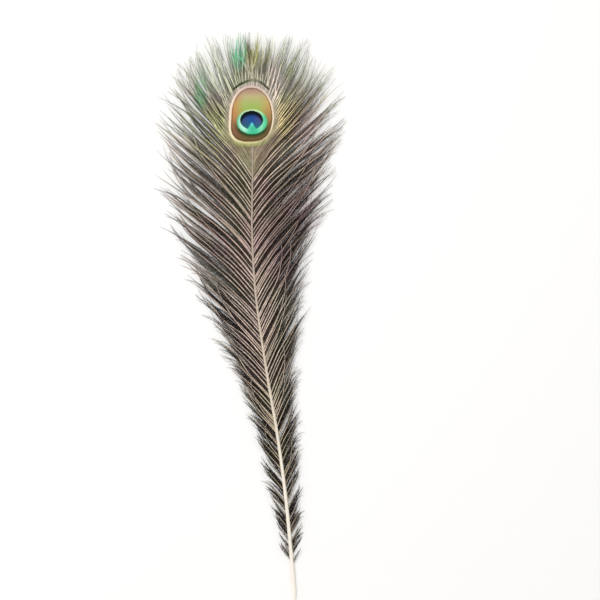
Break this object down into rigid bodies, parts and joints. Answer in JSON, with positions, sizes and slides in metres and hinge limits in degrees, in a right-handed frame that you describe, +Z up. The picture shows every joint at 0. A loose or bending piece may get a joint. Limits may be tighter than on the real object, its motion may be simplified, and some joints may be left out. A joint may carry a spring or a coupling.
{
  "type": "peacock feather",
  "caption": "Peacock eye feather lying flat: a pale tapering shaft, loose iridescent barbs on both sides and a rounded blue and green eye near the tip.",
  "frame": {"origin": "under the centre of the eye, on the flat underside that the feather rests on", "axes": "+Y from the quill's end to the eye and on to the crown, +X to the right seen from above, +Z up, away from the surface"},
  "size_m": [0.1819, 0.5394, 0.0033],
  "materials": {
    "barbs": "loose brown-black keratin barbs with pale stems and a soft green and mauve sheen",
    "shaft": "smooth ivory keratin with a low gloss",
    "eye": "close-set iridescent barbs: indigo centre, turquoise ring, green and bronze field, cream rim"
  },
  "bodies": {
    "root": {"feather": "barbs"}
  },
  "joints": []
}
